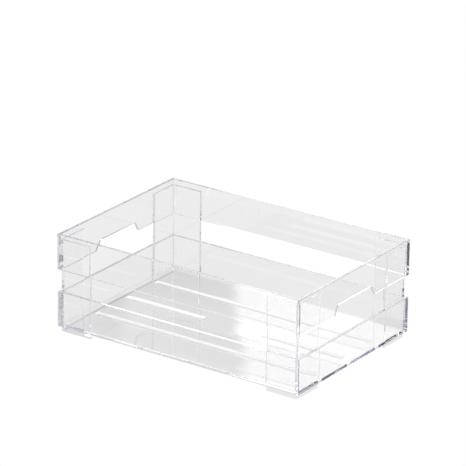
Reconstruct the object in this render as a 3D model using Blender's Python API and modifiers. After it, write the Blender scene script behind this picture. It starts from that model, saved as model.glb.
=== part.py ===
"""A clear stackable crate with slatted sides, built piece by piece in metres."""
import math

import bmesh
import bpy

# Outer size of the crate
CRATE_LENGTH = 0.310
CRATE_WIDTH = 0.210
CRATE_HEIGHT = 0.112

# Clearance between pieces that touch
JOINT_GAP = 0.0003

# Slats: an upper and a lower band run round the posts
SLAT_THICKNESS = 0.0032
UPPER_SLAT_HEIGHT = 0.0402
LOWER_SLAT_HEIGHT = 0.0395
RIM_ROUND = 0.0010
BASE_ROUND = 0.0020

# Corner posts: their lower ends are the feet, and the feet of a crate above stand on their tops
POST_LEG = 0.038
POST_THICKNESS = 0.0025
POST_CORNER_ROUND = 0.0010
FOOT_HEIGHT = 0.0065
SEAT_DEPTH = 0.0058

# Hand-holds, cut up into the lower edge of the upper end slats
GRIP_BOTTOM_WIDTH = 0.076
GRIP_TOP_WIDTH = 0.064
GRIP_HEIGHT = 0.011
GRIP_CORNER_ROUND = 0.0035

# Floor and its slots
FLOOR_THICKNESS = 0.0025
SLOT_WIDTH = 0.007
SLOT_CORNER_ROUND = 0.0012
SLOT_ROW_SPACING = 0.0545
SLOT_END_MARGIN = 0.0125
SLOT_BRIDGE = 0.074

# Finish shared by all pieces
EDGE_ROUND = 0.0004
EDGE_SEGMENTS = 2
ROUND_SEGMENTS = 4
CORNER_SEGMENTS = 4
CUT_OVERRUN = 0.002
WELD_DISTANCE = 0.000001
FLAT_ANGLE = math.radians(1.0)
SHARP_ANGLE = math.radians(40.0)

# Clear plastic
CLEAR_COLOR = (0.93, 0.94, 0.97, 1.0)
CLEAR_ROUGHNESS = 0.03
CLEAR_METALLIC = 0.0
CLEAR_IOR = 1.53
CLEAR_TRANSMISSION = 1.0
CLEAR_ALPHA = 0.35

# Places that follow from the sizes above
FRAME_INSET = SLAT_THICKNESS + JOINT_GAP
FRAME_HALF_LENGTH = CRATE_LENGTH / 2 - FRAME_INSET
FRAME_HALF_WIDTH = CRATE_WIDTH / 2 - FRAME_INSET
POST_HEIGHT = CRATE_HEIGHT - SEAT_DEPTH
LOWER_SLAT_MIDDLE = FOOT_HEIGHT + LOWER_SLAT_HEIGHT / 2
UPPER_SLAT_MIDDLE = CRATE_HEIGHT - UPPER_SLAT_HEIGHT / 2
MITRE_SETBACK = JOINT_GAP / math.sqrt(2)

QUARTER_TURN = math.pi / 2


def clear_scene():
    """Remove what the file holds at the start."""
    for item in list(bpy.data.objects):
        bpy.data.objects.remove(item, do_unlink=True)


def new_collection(name):
    """Return a new collection in the scene."""
    collection = bpy.data.collections.new(name)
    bpy.context.scene.collection.children.link(collection)
    return collection


def clear_plastic(name):
    """Return the clear plastic of one piece."""
    material = bpy.data.materials.new(name + "_plastic")
    material.use_nodes = True
    material.diffuse_color = (*CLEAR_COLOR[:3], CLEAR_ALPHA)
    shader = material.node_tree.nodes["Principled BSDF"]
    shader.inputs["Base Color"].default_value = CLEAR_COLOR
    shader.inputs["Roughness"].default_value = CLEAR_ROUGHNESS
    shader.inputs["Metallic"].default_value = CLEAR_METALLIC
    shader.inputs["IOR"].default_value = CLEAR_IOR
    shader.inputs["Transmission Weight"].default_value = CLEAR_TRANSMISSION
    return material


def add_part(name, mesh):
    """Put a mesh in the crate's collection as a named piece with its own material."""
    part = bpy.data.objects.new(name, mesh)
    mesh.materials.append(clear_plastic(name))
    parts.objects.link(part)
    return part


def soften(part):
    """Round the edges of a piece that are still sharp, and shade it smooth."""
    bevel = part.modifiers.new("soft_edges", "BEVEL")
    bevel.width = EDGE_ROUND
    bevel.segments = EDGE_SEGMENTS
    bevel.limit_method = "ANGLE"
    bevel.angle_limit = SHARP_ANGLE
    part.data.shade_smooth()
    part.data.set_sharp_from_angle(angle=SHARP_ANGLE)


def cut(part, cutter):
    """Cut a piece with a cutter."""
    boolean = part.modifiers.new(cutter.name, "BOOLEAN")
    boolean.operation = "DIFFERENCE"
    boolean.solver = "EXACT"
    boolean.object = cutter


def rounded(corners):
    """Return outline points for corners given as x, y and radius, in order round the outline."""
    points = []
    for index, (x, y, radius) in enumerate(corners):
        if radius == 0:
            points.append((x, y))
            continue
        before = corners[index - 1]
        after = corners[(index + 1) % len(corners)]
        start = math.atan2(before[1] - y, before[0] - x)
        end = math.atan2(after[1] - y, after[0] - x)
        opening = (end - start + math.pi) % math.tau - math.pi
        middle = start + opening / 2
        reach = radius / math.sin(abs(opening) / 2)
        centre = (x + reach * math.cos(middle), y + reach * math.sin(middle))
        sweep = math.copysign(math.pi - abs(opening), -opening)
        for step in range(CORNER_SEGMENTS + 1):
            angle = middle + math.pi + sweep * (step / CORNER_SEGMENTS - 1 / 2)
            points.append((centre[0] + radius * math.cos(angle), centre[1] + radius * math.sin(angle)))
    return points


def extruded(name, points, thickness):
    """Return the mesh of a flat outline with the given thickness, centred on its plane."""
    curve = bpy.data.curves.new(name + "_outline", "CURVE")
    curve.dimensions = "2D"
    curve.fill_mode = "BOTH"
    curve.extrude = thickness / 2
    spline = curve.splines.new("POLY")
    spline.points.add(len(points) - 1)
    for point, (x, y) in zip(spline.points, points):
        point.co = (x, y, 0, 1)
    spline.use_cyclic_u = True
    guide = bpy.data.objects.new(name + "_outline", curve)
    bpy.context.scene.collection.objects.link(guide)
    evaluated = guide.evaluated_get(bpy.context.evaluated_depsgraph_get())
    mesh = bpy.data.meshes.new_from_object(evaluated)
    mesh.name = name
    mesh.materials.clear()
    bpy.data.objects.remove(guide, do_unlink=True)
    shape = bmesh.new()
    shape.from_mesh(mesh)
    bmesh.ops.remove_doubles(shape, verts=shape.verts, dist=WELD_DISTANCE)
    bmesh.ops.dissolve_limit(shape, angle_limit=FLAT_ANGLE, verts=shape.verts, edges=shape.edges)
    bmesh.ops.recalc_face_normals(shape, faces=shape.faces)
    shape.to_mesh(mesh)
    shape.free()
    return mesh


def add_cutter(name, points, thickness):
    """Return a hidden cutter of a flat outline, which lies in its own plane."""
    cutter = bpy.data.objects.new(name, extruded(name, points, thickness))
    cutter.hide_render = True
    cutter.display_type = "WIRE"
    cutters.objects.link(cutter)
    return cutter


def block(size):
    """Return the working mesh of a box of the given size, centred on the origin."""
    shape = bmesh.new()
    bmesh.ops.create_cube(shape, size=1)
    bmesh.ops.scale(shape, vec=size, verts=shape.verts)
    return shape


def finished(name, shape):
    """Turn a working mesh into a mesh."""
    mesh = bpy.data.meshes.new(name)
    shape.to_mesh(mesh)
    shape.free()
    return mesh


def slat_mesh(name, length, height, rounded_edges, radius):
    """Return a slat along X with its outer face to -Y, mitred at both ends."""
    shape = block((length - 2 * MITRE_SETBACK, SLAT_THICKNESS, height))
    for corner in shape.verts:
        if corner.co.y > 0:
            corner.co.x -= math.copysign(SLAT_THICKNESS, corner.co.x)
    edges = [edge for edge in shape.edges if rounded_edges(*edge.verts)]
    bmesh.ops.bevel(shape, geom=edges, offset=radius, segments=ROUND_SEGMENTS, profile=0.5, affect="EDGES")
    return finished(name, shape)


def is_rim(first, second):
    """Say whether an edge is one of the two long edges of a slat's top."""
    return first.co.z > 0 and second.co.z > 0 and first.co.y * second.co.y > 0


def is_base(first, second):
    """Say whether an edge is the long outer edge of a slat's bottom."""
    return first.co.z < 0 and second.co.z < 0 and first.co.y < 0 and second.co.y < 0


def grip_cutter(name):
    """Return the cutter of a hand-hold, which stands across an upper end slat."""
    low = -UPPER_SLAT_HEIGHT / 2
    top = low + GRIP_HEIGHT
    slope = (GRIP_BOTTOM_WIDTH - GRIP_TOP_WIDTH) / 2 / GRIP_HEIGHT
    bottom = low - CUT_OVERRUN
    bottom_half = GRIP_BOTTOM_WIDTH / 2 + slope * CUT_OVERRUN
    top_half = GRIP_TOP_WIDTH / 2
    corners = [
        (-bottom_half, bottom, 0),
        (bottom_half, bottom, 0),
        (top_half, top, GRIP_CORNER_ROUND),
        (-top_half, top, GRIP_CORNER_ROUND),
    ]
    cutter = add_cutter(name, rounded(corners), SLAT_THICKNESS + 2 * CUT_OVERRUN)
    cutter.rotation_euler.x = QUARTER_TURN
    return cutter


def add_slats():
    """Add the two bands: a long slat on each side and a short slat on each end."""
    sides = {
        "front": (0, -CRATE_WIDTH / 2 + SLAT_THICKNESS / 2, 0, CRATE_LENGTH),
        "right": (CRATE_LENGTH / 2 - SLAT_THICKNESS / 2, 0, 1, CRATE_WIDTH),
        "back": (0, CRATE_WIDTH / 2 - SLAT_THICKNESS / 2, 2, CRATE_LENGTH),
        "left": (-CRATE_LENGTH / 2 + SLAT_THICKNESS / 2, 0, 3, CRATE_WIDTH),
    }
    bands = {
        "upper": (UPPER_SLAT_MIDDLE, UPPER_SLAT_HEIGHT, is_rim, RIM_ROUND),
        "lower": (LOWER_SLAT_MIDDLE, LOWER_SLAT_HEIGHT, is_base, BASE_ROUND),
    }
    for band, (middle, height, rounded_edges, radius) in bands.items():
        for side, (x, y, quarter_turns, length) in sides.items():
            name = band + "_slat_" + side
            slat = add_part(name, slat_mesh(name, length, height, rounded_edges, radius))
            slat.location = (x, y, middle)
            slat.rotation_euler.z = quarter_turns * QUARTER_TURN
            if band == "upper" and side in ("left", "right"):
                cutter = grip_cutter("hand_hold_" + side)
                cutter.rotation_euler.z = slat.rotation_euler.z
                cutter.location = slat.location
                cut(slat, cutter)
            soften(slat)


def post_corners():
    """Return each corner's name with the place of the post's outer edge and its quarter turns."""
    return {
        "back_right": (FRAME_HALF_LENGTH, FRAME_HALF_WIDTH, 0),
        "back_left": (-FRAME_HALF_LENGTH, FRAME_HALF_WIDTH, 1),
        "front_left": (-FRAME_HALF_LENGTH, -FRAME_HALF_WIDTH, 2),
        "front_right": (FRAME_HALF_LENGTH, -FRAME_HALF_WIDTH, 3),
    }


def post_outline(growth, corner_round):
    """Return the L of a post, grown all round, with its outer corner near the origin."""
    end = -POST_LEG - growth
    inner = -POST_THICKNESS - growth
    corners = [
        (growth, growth, corner_round),
        (end, growth, 0),
        (end, inner, 0),
        (inner, inner, corner_round),
        (inner, end, 0),
        (growth, end, 0),
    ]
    return rounded(corners)


def add_posts():
    """Add a post in each corner, from the ground to its seat below the rim."""
    for corner, (x, y, quarter_turns) in post_corners().items():
        name = "corner_post_" + corner
        post = add_part(name, extruded(name, post_outline(0, POST_CORNER_ROUND), POST_HEIGHT))
        post.location = (x, y, POST_HEIGHT / 2)
        post.rotation_euler.z = quarter_turns * QUARTER_TURN
        soften(post)


def slot_outline(start, end):
    """Return the outline of a floor slot along X, centred on its row."""
    half = SLOT_WIDTH / 2
    corners = [(start, -half), (end, -half), (end, half), (start, half)]
    return rounded([(x, y, SLOT_CORNER_ROUND) for x, y in corners])


def add_floor():
    """Add the floor: it steps in round the posts, and has three rows of slots."""
    slab = block((2 * FRAME_HALF_LENGTH, 2 * FRAME_HALF_WIDTH, FLOOR_THICKNESS))
    panel = add_part("floor_panel", finished("floor_panel", slab))
    panel.location.z = FOOT_HEIGHT + FLOOR_THICKNESS / 2
    depth = FLOOR_THICKNESS + 2 * CUT_OVERRUN
    for corner, (x, y, quarter_turns) in post_corners().items():
        notch = add_cutter("notch_" + corner, post_outline(JOINT_GAP, 0), depth)
        notch.location = (x, y, panel.location.z)
        notch.rotation_euler.z = quarter_turns * QUARTER_TURN
        cut(panel, notch)
    outer_end = FRAME_HALF_LENGTH - SLOT_END_MARGIN
    bridge_end = SLOT_BRIDGE / 2
    slots = {
        "slot_front": (-outer_end, outer_end, -SLOT_ROW_SPACING),
        "slot_back": (-outer_end, outer_end, SLOT_ROW_SPACING),
        "slot_middle_left": (-outer_end, -bridge_end, 0),
        "slot_middle_right": (bridge_end, outer_end, 0),
    }
    for name, (start, end, row) in slots.items():
        slot = add_cutter(name, slot_outline(start, end), depth)
        slot.location = (0, row, panel.location.z)
        cut(panel, slot)
    soften(panel)


clear_scene()
parts = new_collection("stackable_storage_box")
cutters = new_collection("cutters")
add_posts()
add_slats()
add_floor()
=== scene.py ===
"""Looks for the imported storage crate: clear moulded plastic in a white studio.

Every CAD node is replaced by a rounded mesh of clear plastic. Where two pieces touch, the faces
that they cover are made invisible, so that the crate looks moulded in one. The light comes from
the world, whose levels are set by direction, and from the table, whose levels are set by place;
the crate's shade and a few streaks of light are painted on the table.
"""

import math
from collections import namedtuple

import bmesh
import bpy
from mathutils import Matrix, Vector


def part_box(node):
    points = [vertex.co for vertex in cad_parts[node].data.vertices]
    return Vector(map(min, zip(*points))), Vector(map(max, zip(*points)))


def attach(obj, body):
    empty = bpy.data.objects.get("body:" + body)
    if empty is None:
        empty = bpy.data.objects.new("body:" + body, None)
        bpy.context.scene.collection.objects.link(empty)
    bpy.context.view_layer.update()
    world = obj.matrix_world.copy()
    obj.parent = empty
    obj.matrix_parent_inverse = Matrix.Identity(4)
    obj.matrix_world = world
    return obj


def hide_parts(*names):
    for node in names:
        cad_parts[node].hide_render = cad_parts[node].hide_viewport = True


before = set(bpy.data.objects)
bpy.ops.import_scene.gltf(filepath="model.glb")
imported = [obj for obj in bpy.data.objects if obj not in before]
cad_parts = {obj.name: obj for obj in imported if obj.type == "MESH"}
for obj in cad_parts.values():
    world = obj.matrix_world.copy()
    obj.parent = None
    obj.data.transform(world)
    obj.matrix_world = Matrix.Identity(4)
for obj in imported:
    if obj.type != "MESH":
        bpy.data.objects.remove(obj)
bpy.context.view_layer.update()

# Sizes of the crate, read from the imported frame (metres)
UPPER_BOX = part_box("upper_slat_front")
LOWER_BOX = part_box("lower_slat_front")
END_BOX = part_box("upper_slat_right")
POST_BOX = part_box("corner_post_front_left")
FLOOR_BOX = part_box("floor_panel")
HALF_LENGTH = END_BOX[1].x
HALF_WIDTH = -UPPER_BOX[0].y
SLAT_THICKNESS = UPPER_BOX[1].y - UPPER_BOX[0].y
INNER_X = HALF_LENGTH - SLAT_THICKNESS
INNER_Y = HALF_WIDTH - SLAT_THICKNESS
RIM_Z = UPPER_BOX[1].z
UPPER_BOTTOM = UPPER_BOX[0].z
LOWER_TOP = LOWER_BOX[1].z
LOWER_BOTTOM = LOWER_BOX[0].z
POST_TOP = POST_BOX[1].z
POST_END_X = -POST_BOX[1].x
POST_END_Y = -POST_BOX[1].y
FLOOR_TOP = FLOOR_BOX[1].z
FLOOR_BOTTOM = FLOOR_BOX[0].z

# Sizes that the frame's boxes don't give, as in the part's source (metres)
POST_THICKNESS = 0.0025
GRIP_BOTTOM_WIDTH = 0.076
GRIP_TOP_WIDTH = 0.064
GRIP_HEIGHT = 0.011
GRIP_CORNER_ROUND = 0.0035
SLOT_WIDTH = 0.007
SLOT_CORNER_ROUND = 0.0012
SLOT_ROW_SPACING = 0.0545
SLOT_END_MARGIN = 0.0125
SLOT_BRIDGE = 0.074

# Rounding that only shows close up (metres)
OUTER_CORNER_ROUND = 0.0005
INNER_CORNER_ROUND = 0.0004
TOP_EDGE_ROUND = 0.0003
UPPER_LOW_EDGE_ROUND = 0.00015
LOWER_LOW_EDGE_ROUND = 0.0002
POST_EDGE_ROUND = 0.0004
POST_FINE_ROUND = 0.0002
SLOT_EDGE_ROUND = 0.0004
GRIP_EDGE_ROUND = 0.0002
ARC_SEGMENTS = 5
EDGE_SEGMENTS = 4
CIRCULAR_PROFILE = 0.5
MITRE_ANGLE = math.radians(45)

# The gap between pieces, a cutter's overrun, and how far outside a face its cover is looked for
SEAM = 0.00004
CUT_OVERRUN = 0.002
COVER_REACH = SEAM * 2

# Limits that pick edges and faces: sharp edges, flat faces, and the rims of slots and hand-holds
SHARP_ANGLE = math.radians(35)
FLAT_ENOUGH = 0.99
SLOT_RIM_REACH = SLOT_EDGE_ROUND * 1.1
GRIP_RIM_SHARE = 0.999
GRIP_RIM_DROP = 0.00004

# Each side of the crate: the direction along it, and the direction out of it
SIDES = {
    "front": (Vector((1, 0, 0)), Vector((0, -1, 0))),
    "right": (Vector((0, 1, 0)), Vector((1, 0, 0))),
    "back": (Vector((-1, 0, 0)), Vector((0, 1, 0))),
    "left": (Vector((0, -1, 0)), Vector((-1, 0, 0))),
}


def rounded_loop(corners):
    """A closed outline through corners (a, b, radius), each rounded by an arc."""
    points = []
    for i, (a, b, radius) in enumerate(corners):
        here = Vector((a, b))
        before = (Vector(corners[i - 1][:2]) - here).normalized()
        after = (Vector(corners[(i + 1) % len(corners)][:2]) - here).normalized()
        if radius == 0:
            points.append(here)
            continue
        half = before.angle(after) / 2
        centre = here + (before + after).normalized() * radius / math.sin(half)
        arm = here + before * radius / math.tan(half) - centre
        turn = math.copysign(math.pi - 2 * half, after.cross(before))
        for k in range(ARC_SEGMENTS + 1):
            points.append(centre + Matrix.Rotation(turn * k / ARC_SEGMENTS, 2) @ arm)
    return points


def in_grip(along, z):
    """True inside the hand-hold's outline in an end slat."""
    if not UPPER_BOTTOM <= z <= UPPER_BOTTOM + GRIP_HEIGHT:
        return False
    share = (z - UPPER_BOTTOM) / GRIP_HEIGHT
    width = GRIP_BOTTOM_WIDTH + (GRIP_TOP_WIDTH - GRIP_BOTTOM_WIDTH) * share
    return abs(along) <= width / 2


def slot_spans():
    """The floor's slots, as (left end, right end, middle line)."""
    end = INNER_X - SLOT_END_MARGIN
    spans = [(-end, end, row * SLOT_ROW_SPACING) for row in (-1, 1)]
    return spans + [(-end, -SLOT_BRIDGE / 2, 0), (SLOT_BRIDGE / 2, end, 0)]


def in_slot(p, margin=0):
    """True inside one of the floor's slots, or within a margin of it."""
    return any(
        left - margin <= p.x <= right + margin and abs(p.y - middle) <= SLOT_WIDTH / 2 + margin
        for left, right, middle in slot_spans()
    )


def owner(p):
    """The name of the piece that fills a place, with its edges taken as sharp, or None for air."""
    x, y, z = abs(p.x), abs(p.y), p.z
    depth = "front" if p.y < 0 else "back"
    side = "left" if p.x < 0 else "right"
    if x > HALF_LENGTH or y > HALF_WIDTH:
        return None
    if x > INNER_X or y > INNER_Y:
        at_end = HALF_LENGTH - x < HALF_WIDTH - y
        wall = side if at_end else depth
        if UPPER_BOTTOM <= z <= RIM_Z and not (at_end and in_grip(p.y, z)):
            return f"upper_slat_{wall}"
        return f"lower_slat_{wall}" if LOWER_BOTTOM <= z <= LOWER_TOP else None
    if x > POST_END_X and y > POST_END_Y and 0 <= z <= POST_TOP:
        if x > INNER_X - POST_THICKNESS or y > INNER_Y - POST_THICKNESS:
            return f"corner_post_{depth}_{side}"
    if FLOOR_BOTTOM <= z <= FLOOR_TOP and not in_slot(p):
        return "floor_panel"
    return None


def split(bm, places, normal):
    """Adds an edge loop where each plane crosses the mesh."""
    for place in places:
        geometry = bm.verts[:] + bm.edges[:] + bm.faces[:]
        bmesh.ops.bisect_plane(
            bm, geom=geometry, plane_co=Vector(normal) * place, plane_no=normal
        )


def finish_piece(name, bm, material):
    """Makes a CAD node's visible object from a mesh, and marks its open and its frosted faces."""
    split(bm, (FLOOR_BOTTOM, FLOOR_TOP, LOWER_TOP, UPPER_BOTTOM, POST_TOP), (0, 0, 1))
    split(bm, (-POST_END_X, POST_END_X), (1, 0, 0))
    split(bm, (-POST_END_Y, POST_END_Y), (0, 1, 0))
    bmesh.ops.recalc_face_normals(bm, faces=bm.faces[:])
    open_face = bm.faces.layers.float.new("open_face")
    frosted = bm.faces.layers.float.new("frosted")
    for face in bm.faces:
        face.smooth = True
        centre = face.calc_center_median()
        in_rim = name == "floor_panel" and in_slot(centre, SLOT_RIM_REACH)
        face[frosted] = 1.0 if in_rim and abs(face.normal.z) < FLAT_ENOUGH else 0.0
        beyond = centre + face.normal * COVER_REACH
        face[open_face] = 1.0 if owner(beyond) in (None, name) else 0.0
    mesh = bpy.data.meshes.new("clear_" + name)
    bm.to_mesh(mesh)
    bm.free()
    mesh.set_sharp_from_angle(angle=SHARP_ANGLE)
    mesh.materials.append(material)
    piece = bpy.data.objects.new("clear_" + name, mesh)
    bpy.context.scene.collection.objects.link(piece)
    normals = piece.modifiers.new("flat_faces_stay_flat", "WEIGHTED_NORMAL")
    normals.keep_sharp = True
    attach(piece, "root")
    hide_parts(name)


def wall_line(half_run, reach, inset):
    """A wall's plan line at a depth below its outer face, from seam to seam, as (along, out)."""
    share = inset / SLAT_THICKNESS
    radius = OUTER_CORNER_ROUND + (INNER_CORNER_ROUND - OUTER_CORNER_ROUND) * share
    points = []
    for k in range(ARC_SEGMENTS + 1):
        angle = MITRE_ANGLE * k / ARC_SEGMENTS
        along = half_run - inset - radius + radius * math.sin(angle)
        out = reach - inset - radius + radius * math.cos(angle)
        points.append([along, out])
    points[-1][0] -= SEAM
    return [(-a, o) for a, o in reversed(points)] + [(a, o) for a, o in points]


def closed_skin(rows):
    """A closed mesh through rows of points, each row a loop round the body."""
    bm = bmesh.new()
    rings = [[bm.verts.new(p) for p in row] for row in rows]
    count = len(rings[0])
    for one, two in zip(rings, rings[1:]):
        for k in range(count):
            after = (k + 1) % count
            bm.faces.new((one[k], one[after], two[after], two[k]))
    bm.faces.new(rings[0])
    bm.faces.new(rings[-1])
    return bm


def slat_profile(band):
    """A slat's section as (inset, z) points."""
    if band == "upper":
        corners = [
            (0, UPPER_BOTTOM, UPPER_LOW_EDGE_ROUND),
            (SLAT_THICKNESS, UPPER_BOTTOM, UPPER_LOW_EDGE_ROUND),
            (SLAT_THICKNESS, RIM_Z, TOP_EDGE_ROUND),
            (0, RIM_Z, TOP_EDGE_ROUND),
        ]
    else:
        corners = [
            (0, LOWER_BOTTOM, LOWER_LOW_EDGE_ROUND),
            (SLAT_THICKNESS, LOWER_BOTTOM, 0),
            (SLAT_THICKNESS, LOWER_TOP, TOP_EDGE_ROUND),
            (0, LOWER_TOP, TOP_EDGE_ROUND),
        ]
    return rounded_loop(corners)


def object_of(name, bm):
    """A passing object for a Boolean modifier."""
    mesh = bpy.data.meshes.new(name)
    bmesh.ops.recalc_face_normals(bm, faces=bm.faces[:])
    bm.to_mesh(mesh)
    bm.free()
    thing = bpy.data.objects.new(name, mesh)
    bpy.context.scene.collection.objects.link(thing)
    return thing


def upright(a, b, c):
    """A prism's own axes taken as the crate's."""
    return Vector((a, b, c))


def prism(outline, low, high, place=upright):
    """A closed mesh with an outline, from low to high, where place turns (a, b, c) into a point."""
    return closed_skin([[place(a, b, c) for a, b in outline] for c in (low, high)])


def carve(body, cutters):
    """The body's mesh less the cutters', as a new bmesh. All the passing objects are removed."""
    for cutter in cutters:
        cut = body.modifiers.new("cut", "BOOLEAN")
        cut.operation = "DIFFERENCE"
        cut.solver = "EXACT"
        cut.object = cutter
    bpy.context.view_layer.update()
    seen = body.evaluated_get(bpy.context.evaluated_depsgraph_get())
    bm = bmesh.new()
    bm.from_mesh(seen.to_mesh())
    seen.to_mesh_clear()
    for thing in [body, *cutters]:
        mesh = thing.data
        bpy.data.objects.remove(thing)
        bpy.data.meshes.remove(mesh)
    return bm


def soften(bm, edges, width):
    """Rounds the chosen edges."""
    bmesh.ops.bevel(
        bm,
        geom=edges,
        offset=width,
        offset_type="OFFSET",
        segments=EDGE_SEGMENTS,
        profile=CIRCULAR_PROFILE,
        affect="EDGES",
        clamp_overlap=True,
    )


def middle_of(edge):
    """The middle of an edge."""
    return (edge.verts[0].co + edge.verts[1].co) / 2


def edge_turn(edge):
    """How much the surface turns across an edge, in radians."""
    return edge.calc_face_angle(0.0) if len(edge.link_faces) == 2 else 0.0


def make_slats(material):
    """The eight slats, mitred where they meet at the corners."""
    for band in ("upper", "lower"):
        profile = slat_profile(band)
        for side, (along, out) in SIDES.items():
            runs_along_x = side in ("front", "back")
            half_run = HALF_LENGTH if runs_along_x else HALF_WIDTH
            reach = HALF_WIDTH if runs_along_x else HALF_LENGTH
            lines = [wall_line(half_run, reach, inset) for inset, _ in profile]
            rows = []
            for station in range(len(lines[0])):
                rows.append(
                    [
                        along * line[station][0] + out * line[station][1] + Vector((0, 0, z))
                        for line, (_, z) in zip(lines, profile)
                    ]
                )
            bm = closed_skin(rows)
            if band == "upper" and not runs_along_x:
                bm = cut_grip(bm, along, out, reach)
            finish_piece(f"{band}_slat_{side}", bm, material)


def cut_grip(bm, along, out, reach):
    """Cuts the hand-hold up into a slat's lower edge and rounds its rim."""
    low = UPPER_BOTTOM - CUT_OVERRUN
    top = UPPER_BOTTOM + GRIP_HEIGHT
    slope = (GRIP_BOTTOM_WIDTH - GRIP_TOP_WIDTH) / 2 / GRIP_HEIGHT
    foot = GRIP_BOTTOM_WIDTH / 2 + slope * CUT_OVERRUN
    head = GRIP_TOP_WIDTH / 2
    outline = rounded_loop(
        [
            (-foot, low, 0),
            (foot, low, 0),
            (head, top, GRIP_CORNER_ROUND),
            (-head, top, GRIP_CORNER_ROUND),
        ]
    )
    cutter = prism(
        outline,
        reach - SLAT_THICKNESS - CUT_OVERRUN,
        reach + CUT_OVERRUN,
        lambda a, b, c: along * a + out * c + Vector((0, 0, b)),
    )
    bm = carve(object_of("slat_body", bm), [object_of("grip_cutter", cutter)])
    rim = []
    for edge in bm.edges:
        middle = middle_of(edge)
        on_rim = in_grip(middle.dot(along) * GRIP_RIM_SHARE, middle.z - GRIP_RIM_DROP)
        if on_rim and edge_turn(edge) > SHARP_ANGLE:
            rim.append(edge)
    soften(bm, rim, GRIP_EDGE_ROUND)
    return bm


def make_posts(material):
    """The four L-shaped posts inside the corners."""
    outer_x = INNER_X - SEAM
    outer_y = INNER_Y - SEAM
    inner_x = INNER_X - POST_THICKNESS
    inner_y = INNER_Y - POST_THICKNESS
    outline = rounded_loop(
        [
            (outer_x, outer_y, INNER_CORNER_ROUND),
            (POST_END_X, outer_y, POST_FINE_ROUND),
            (POST_END_X, inner_y, POST_EDGE_ROUND),
            (inner_x, inner_y, POST_EDGE_ROUND),
            (inner_x, POST_END_Y, POST_EDGE_ROUND),
            (outer_x, POST_END_Y, POST_FINE_ROUND),
        ]
    )
    for depth, depth_sign in (("front", -1), ("back", 1)):
        for side, side_sign in (("left", -1), ("right", 1)):
            bm = prism(
                outline, 0, POST_TOP, lambda a, b, c: Vector((a * side_sign, b * depth_sign, c))
            )
            ends = [e for e in bm.edges if e.verts[0].co.z == e.verts[1].co.z]
            soften(bm, ends, POST_FINE_ROUND)
            finish_piece(f"corner_post_{depth}_{side}", bm, material)


def make_floor(material):
    """The floor between the slats, notched round the posts, with its three rows of slots."""
    x, y = INNER_X - SEAM, INNER_Y - SEAM
    post_x = INNER_X - POST_THICKNESS - SEAM
    post_y = INNER_Y - POST_THICKNESS - SEAM
    end_x, end_y = POST_END_X - SEAM, POST_END_Y - SEAM
    corner = [(x, end_y), (post_x, end_y), (post_x, post_y), (end_x, post_y), (end_x, y)]
    back_half = corner + [(-a, b) for a, b in reversed(corner)]
    outline = back_half + [(-a, -b) for a, b in back_half]
    body = prism(outline, FLOOR_BOTTOM, FLOOR_TOP)
    cutters = []
    for left, right, middle in slot_spans():
        low, high = middle - SLOT_WIDTH / 2, middle + SLOT_WIDTH / 2
        slot = [(left, low), (right, low), (right, high), (left, high)]
        loop = rounded_loop([(a, b, SLOT_CORNER_ROUND) for a, b in slot])
        cutter = prism(loop, FLOOR_BOTTOM - CUT_OVERRUN, FLOOR_TOP + CUT_OVERRUN)
        cutters.append(object_of("slot_cutter", cutter))
    bm = carve(object_of("floor_body", body), cutters)
    rims = []
    for edge in bm.edges:
        middle = middle_of(edge)
        inside = abs(middle.x) < post_x - CUT_OVERRUN and abs(middle.y) < POST_END_Y - CUT_OVERRUN
        if inside and edge_turn(edge) > SHARP_ANGLE:
            rims.append(edge)
    soften(bm, rims, SLOT_EDGE_ROUND)
    finish_piece("floor_panel", bm, material)


# The sockets of a Mix node for single numbers
MIX_SHARE = 0
MIX_LOW = 2
MIX_HIGH = 3


def blend_level(tree, share, low, high):
    """A level that goes from low to high with a share; low and high are numbers or sockets."""
    mix = tree.nodes.new("ShaderNodeMix")
    mix.data_type = "FLOAT"
    tree.links.new(share, mix.inputs[MIX_SHARE])
    for socket, value in ((mix.inputs[MIX_LOW], low), (mix.inputs[MIX_HIGH], high)):
        if isinstance(value, (int, float)):
            socket.default_value = value
        else:
            tree.links.new(value, socket)
    return mix.outputs[0]


def soft_step(tree, vector, normal, place, softness):
    """0 where a vector's reach along the normal is below a place and 1 above it, softly."""
    dot = tree.nodes.new("ShaderNodeVectorMath")
    dot.operation = "DOT_PRODUCT"
    tree.links.new(vector, dot.inputs[0])
    dot.inputs[1].default_value = normal
    ramp = tree.nodes.new("ShaderNodeMapRange")
    ramp.interpolation_type = "SMOOTHSTEP"
    ramp.inputs["From Min"].default_value = place - softness
    ramp.inputs["From Max"].default_value = place + softness
    tree.links.new(dot.outputs["Value"], ramp.inputs["Value"])
    return ramp.outputs["Result"]


def product(tree, factors):
    """The product of some sockets."""
    result = factors[0]
    for factor in factors[1:]:
        node = tree.nodes.new("ShaderNodeMath")
        node.operation = "MULTIPLY"
        tree.links.new(result, node.inputs[0])
        tree.links.new(factor, node.inputs[1])
        result = node.outputs[0]
    return result


def face_value(tree, name):
    """A value that the mesh holds for each face."""
    node = tree.nodes.new("ShaderNodeAttribute")
    node.attribute_name = name
    return node.outputs["Fac"]


# The plastic: its colour, its tint, its frost and the waves of its surface
PLASTIC_COLOUR = (0.967, 0.967, 0.967, 1)
PLASTIC_IOR = 1.55
TINT_COLOUR = (0.2, 0.17, 0.45, 1)
TINT_DENSITY = 2.8
FROST_ROUGHNESS = 0.5
WAVE_SCALE = 22.0
WAVE_DETAIL = 1.0
WAVE_STRENGTH = 0.3
WAVE_HEIGHT = 0.0001


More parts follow.
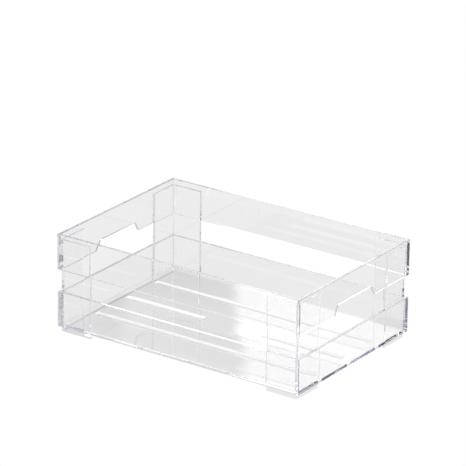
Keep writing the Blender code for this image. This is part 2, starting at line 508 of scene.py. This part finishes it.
def clear_plastic(name, with_frost=False):
    """Clear plastic with a breath of blue, gently wavy, and frosted on the faces marked so."""
    material = bpy.data.materials.new(name)
    material.use_nodes = True
    tree = material.node_tree
    nodes, links = tree.nodes, tree.links
    shader = nodes["Principled BSDF"]
    shader.inputs["Base Color"].default_value = PLASTIC_COLOUR
    shader.inputs["IOR"].default_value = PLASTIC_IOR
    shader.inputs["Transmission Weight"].default_value = 1.0
    shader.inputs["Roughness"].default_value = 0.0
    links.new(face_value(tree, "open_face"), shader.inputs["Alpha"])
    if with_frost:
        # the frost shows from outside, and light inside the plastic passes it
        inside = nodes.new("ShaderNodeNewGeometry").outputs["Backfacing"]
        frost = blend_level(tree, inside, face_value(tree, "frosted"), 0.0)
        links.new(blend_level(tree, frost, 1.0, 0.0), shader.inputs["Transmission Weight"])
        links.new(blend_level(tree, frost, 0.0, FROST_ROUGHNESS), shader.inputs["Roughness"])
    waves = nodes.new("ShaderNodeTexNoise")
    waves.inputs["Scale"].default_value = WAVE_SCALE
    waves.inputs["Detail"].default_value = WAVE_DETAIL
    links.new(nodes.new("ShaderNodeTexCoord").outputs["Object"], waves.inputs["Vector"])
    bump = nodes.new("ShaderNodeBump")
    bump.inputs["Strength"].default_value = WAVE_STRENGTH
    bump.inputs["Distance"].default_value = WAVE_HEIGHT
    links.new(waves.outputs["Fac"], bump.inputs["Height"])
    links.new(bump.outputs["Normal"], shader.inputs["Normal"])
    tint = nodes.new("ShaderNodeVolumeAbsorption")
    tint.inputs["Color"].default_value = TINT_COLOUR
    tint.inputs["Density"].default_value = TINT_DENSITY
    links.new(tint.outputs["Volume"], nodes["Material Output"].inputs["Volume"])
    return material


# The camera, at the photograph's viewing angle
CAMERA_AZIMUTH = math.radians(34.6130)
CAMERA_ELEVATION = math.radians(21.6160)
CAMERA_ROLL = math.radians(0.6642)
CAMERA_DISTANCE = 4.26782
CAMERA_TARGET = Vector((-0.16709, 0.24098, 0))
CAMERA_LENS = 288.093
SENSOR_WIDTH = 36.0
CLIP_START = 0.1
CLIP_END = 100


def make_camera():
    """A long lens that looks down at the crate from the front right. Gives the way back to it."""
    data = bpy.data.cameras.new("camera")
    data.lens = CAMERA_LENS
    data.sensor_width = SENSOR_WIDTH
    data.clip_start = CLIP_START
    data.clip_end = CLIP_END
    camera = bpy.data.objects.new("camera", data)
    bpy.context.scene.collection.objects.link(camera)
    back = Vector(
        (
            math.sin(CAMERA_AZIMUTH) * math.cos(CAMERA_ELEVATION),
            -math.cos(CAMERA_AZIMUTH) * math.cos(CAMERA_ELEVATION),
            math.sin(CAMERA_ELEVATION),
        )
    )
    right = Vector((0, 0, 1)).cross(back).normalized()
    up = back.cross(right)
    turned_right = right * math.cos(CAMERA_ROLL) + up * math.sin(CAMERA_ROLL)
    turned_up = up * math.cos(CAMERA_ROLL) - right * math.sin(CAMERA_ROLL)
    turn = Matrix((turned_right, turned_up, back)).transposed()
    place = CAMERA_TARGET + back * CAMERA_DISTANCE
    camera.matrix_world = Matrix.Translation(place) @ turn.to_4x4()
    bpy.context.scene.camera = camera
    return back


# Light levels, where 1 is white: in direct sight, on matt surfaces, and then in and through plastic
WHITE = (1, 1, 1, 1)
WHITE_LEVEL = 1.0
# painted shade on the table where it is seen directly through the slots
SLOT_VIEW_SHADE_LEVEL = 0.87
MATT_LIGHT_LEVEL = 1.25
SWEEP_LEVEL = 0.72
BRIGHT_SWEEP_LEVEL = 1.9
DARK_SWEEP_LEVEL = 0.3
ROOM_LEVEL = 0.40
SOFTBOX_LEVEL = 3.0
TABLE_LEVEL = 0.885
# painted light on the table in front of the crate
FRONT_LIGHT_POOL_LEVEL = 1.00
CORNER_SHADE_LEVEL = 0.78
# painted shade under the crate, darker at the left and lighter at the right and in the middle
UNDER_SHADE_LEFT_LEVEL = 0.72
UNDER_SHADE_RIGHT_LEVEL = 0.83
UNDER_SHADE_MIDDLE_LEVEL = 0.81
# painted contact shadow under the left wall
CONTACT_SHADOW_LEVEL = 0.50
# painted light streaks along the foot of the front wall
FOOT_LIGHT_STREAK_LEVEL = 1.8
# painted shade strip along the right wall
END_SHADE_STRIP_LEVEL = 0.5

# Where the sweep ends and the softbox stands, as parts of a unit vector
HORIZON_SOFT = 0.01
SWEEP_TOP = 0.45
SWEEP_TOP_SOFT = 0.05
SOFTBOX_TOWARDS = Vector((-0.65, 0.15, 0.745)).normalized()
SOFTBOX_EDGE = 0.77
SOFTBOX_SIDE_ANGLE = math.radians(75)
SOFTBOX_SIDE = Vector((math.cos(SOFTBOX_SIDE_ANGLE), math.sin(SOFTBOX_SIDE_ANGLE), 0))
SOFTBOX_SOFT = 0.02

# The sweep's bright and dark parts, in a band of heights, right and left of the mirrored middle
BAND_LOW = math.sin(math.radians(20.5))
BAND_HIGH = math.sin(math.radians(26))
BAND_SOFT = 0.01
BRIGHT_TILT = math.radians(7.7)
BRIGHT_PLACE = -0.0016
BRIGHT_SOFT = 0.002
BRIGHT_WIDTH = math.radians(12)
BRIGHT_FAR_SOFT = 0.02
DARK_PLACE = 0.0295
DARK_SOFT = 0.003


def by_ray(tree, level, direct):
    """A level that gives way to another in direct sight, and to the plain one on matt surfaces."""
    ray = tree.nodes.new("ShaderNodeLightPath")
    seen = blend_level(tree, ray.outputs["Is Camera Ray"], level, direct)
    return blend_level(tree, ray.outputs["Diffuse Depth"], seen, MATT_LIGHT_LEVEL)


def make_world(view_back):
    """A pale ground below the horizon, a sweep that rises behind it, a dim room and a softbox."""
    world = bpy.data.worlds.new("studio")
    bpy.context.scene.world = world
    world.use_nodes = True
    tree = world.node_tree
    direction = tree.nodes.new("ShaderNodeTexCoord").outputs["Generated"]
    up = Vector((0, 0, 1))

    def towards(normal, place, softness):
        return soft_step(tree, direction, normal, place, softness)

    # the direction in which the floor mirrors the middle of the picture
    mirrored = Vector((-view_back.x, -view_back.y, view_back.z))
    right = mirrored.cross(up).normalized()
    leaning = Matrix.Rotation(BRIGHT_TILT, 3, mirrored) @ right
    far_side = Matrix.Rotation(-BRIGHT_WIDTH, 3, up) @ right
    band = [towards(up, BAND_LOW, BAND_SOFT), towards(-up, -BAND_HIGH, BAND_SOFT)]
    bright_sides = [
        towards(leaning, BRIGHT_PLACE, BRIGHT_SOFT),
        towards(-far_side, 0, BRIGHT_FAR_SOFT),
    ]
    bright = product(tree, bright_sides + band)
    dark = product(tree, [towards(-right, DARK_PLACE, DARK_SOFT), *band])
    level = blend_level(tree, dark, SWEEP_LEVEL, DARK_SWEEP_LEVEL)
    level = blend_level(tree, bright, level, BRIGHT_SWEEP_LEVEL)
    level = blend_level(tree, towards(up, SWEEP_TOP, SWEEP_TOP_SOFT), level, ROOM_LEVEL)
    in_softbox = [
        towards(SOFTBOX_TOWARDS, SOFTBOX_EDGE, SOFTBOX_SOFT),
        towards(SOFTBOX_SIDE, 0, SOFTBOX_SOFT),
    ]
    level = blend_level(tree, product(tree, in_softbox), level, SOFTBOX_LEVEL)
    level = blend_level(tree, towards(up, 0, HORIZON_SOFT), TABLE_LEVEL, level)
    background = tree.nodes["Background"]
    tree.links.new(by_ray(tree, level, WHITE_LEVEL), background.inputs["Strength"])
    background.inputs["Color"].default_value = WHITE


# The table, its painted pool of light in front of the crate, and where its painted shade turns
# lighter (metres)
TABLE_HALF = 3.0
FRONT_LIGHT_POOL_EDGE = 0.010
FRONT_LIGHT_POOL_SOFT = 0.010
FRONT_LIGHT_POOL_RIGHT = 0.060
FRONT_LIGHT_POOL_RIGHT_SOFT = 0.020
UNDER_SHADE_TURN = -0.060
UNDER_SHADE_TURN_SOFT = 0.100

# Soft rectangles of painted shade and light: their sides and the softness of their edges (metres)
Patch = namedtuple("Patch", "left right front back soft")

# The crate's painted shade, the painted shadow line under its left wall, and the middle of the
# shade
SHADE_BEHIND = 0.004
CONTACT_SHADOW_WIDTH = 0.003
SHADE = Patch(
    left=-HALF_LENGTH,
    right=HALF_LENGTH,
    front=-HALF_WIDTH,
    back=HALF_WIDTH + SHADE_BEHIND,
    soft=0.002,
)
# a painted contact shadow along the foot of the left wall
CONTACT_SHADOW = Patch(
    left=-HALF_LENGTH,
    right=CONTACT_SHADOW_WIDTH - HALF_LENGTH,
    front=-HALF_WIDTH,
    back=HALF_WIDTH,
    soft=0.0008,
)
UNDER_SHADE_MIDDLE = Patch(left=-0.150, right=0.010, front=-0.055, back=0.035, soft=0.032)

# Beside the crate: painted shade behind its right end, painted light along its front wall's foot,
# painted shade along its right wall
CORNER_SHADE = Patch(left=0.100, right=0.175, front=HALF_WIDTH, back=0.140, soft=0.006)
OUTER_FOOT_LIGHT_STREAK = Patch(left=-0.125, right=0.090, front=-0.122, back=-0.1125, soft=0.002)
INNER_FOOT_LIGHT_STREAK = Patch(left=-0.125, right=0.090, front=-0.0955, back=-0.0885, soft=0.002)
END_SHADE_STRIP = Patch(left=0.1612, right=0.166, front=-HALF_WIDTH, back=HALF_WIDTH, soft=0.0008)

# Painted shade on the part of the table that is seen through the floor's slots
SLOT_VIEW_SHADE = Patch(left=-0.145, right=0.145, front=-0.093, back=0.093, soft=0.002)


def make_table():
    """A plain table that gives off its own level, with the crate's shade and a few streaks of light
    painted on it.
    """
    mesh = bpy.data.meshes.new("table")
    bm = bmesh.new()
    bmesh.ops.create_grid(bm, x_segments=1, y_segments=1, size=TABLE_HALF)
    bm.to_mesh(mesh)
    bm.free()
    table = bpy.data.objects.new("table", mesh)
    bpy.context.scene.collection.objects.link(table)
    material = bpy.data.materials.new("table_with_painted_shade_and_light")
    material.use_nodes = True
    tree = material.node_tree
    tree.nodes.remove(tree.nodes["Principled BSDF"])
    position = tree.nodes.new("ShaderNodeNewGeometry").outputs["Position"]

    def beyond(way, place, softness):
        return soft_step(tree, position, way, place, softness)

    def laid_on(level, patch, own_level):
        """A level with a patch of another level laid on it."""
        sides = [
            beyond((1, 0, 0), patch.left, patch.soft),
            beyond((-1, 0, 0), -patch.right, patch.soft),
            beyond((0, 1, 0), patch.front, patch.soft),
            beyond((0, -1, 0), -patch.back, patch.soft),
        ]
        return blend_level(tree, product(tree, sides), level, own_level)

    # the painted shade under the crate, lighter towards the right and in the middle
    to_right = beyond((1, 0, 0), UNDER_SHADE_TURN, UNDER_SHADE_TURN_SOFT)
    under_shade = blend_level(tree, to_right, UNDER_SHADE_LEFT_LEVEL, UNDER_SHADE_RIGHT_LEVEL)
    under_shade = laid_on(under_shade, UNDER_SHADE_MIDDLE, UNDER_SHADE_MIDDLE_LEVEL)
    # a painted pool of light on the table in front of the crate
    in_front_light_pool = [
        beyond((0, -1, 0), HALF_WIDTH + FRONT_LIGHT_POOL_EDGE, FRONT_LIGHT_POOL_SOFT),
        beyond((-1, 0, 0), -FRONT_LIGHT_POOL_RIGHT, FRONT_LIGHT_POOL_RIGHT_SOFT),
    ]
    level = blend_level(tree, product(tree, in_front_light_pool), TABLE_LEVEL, FRONT_LIGHT_POOL_LEVEL)
    level = laid_on(level, CORNER_SHADE, CORNER_SHADE_LEVEL)
    level = laid_on(level, SHADE, under_shade)
    level = laid_on(level, CONTACT_SHADOW, CONTACT_SHADOW_LEVEL)
    level = laid_on(level, OUTER_FOOT_LIGHT_STREAK, FOOT_LIGHT_STREAK_LEVEL)
    level = laid_on(level, INNER_FOOT_LIGHT_STREAK, FOOT_LIGHT_STREAK_LEVEL)
    level = laid_on(level, END_SHADE_STRIP, END_SHADE_STRIP_LEVEL)
    # in direct sight the table is white, with painted shade where it is seen through the slots
    direct = laid_on(WHITE_LEVEL, SLOT_VIEW_SHADE, SLOT_VIEW_SHADE_LEVEL)
    glow = tree.nodes.new("ShaderNodeEmission")
    tree.links.new(by_ray(tree, level, direct), glow.inputs["Strength"])
    tree.links.new(glow.outputs[0], tree.nodes["Material Output"].inputs["Surface"])
    mesh.materials.append(material)


LIGHT_BOUNCES = 48


def set_render():
    """Plain colours, and enough bounces for light that runs along inside the walls."""
    scene = bpy.context.scene
    scene.view_settings.view_transform = "Standard"
    scene.cycles.max_bounces = LIGHT_BOUNCES
    scene.cycles.transmission_bounces = LIGHT_BOUNCES
    scene.cycles.glossy_bounces = LIGHT_BOUNCES
    scene.cycles.transparent_max_bounces = LIGHT_BOUNCES


plastic = clear_plastic("clear_plastic_polished")
make_slats(plastic)
make_posts(plastic)
make_floor(clear_plastic("clear_plastic_with_frosted_slots", with_frost=True))
make_table()
make_world(make_camera())
set_render()
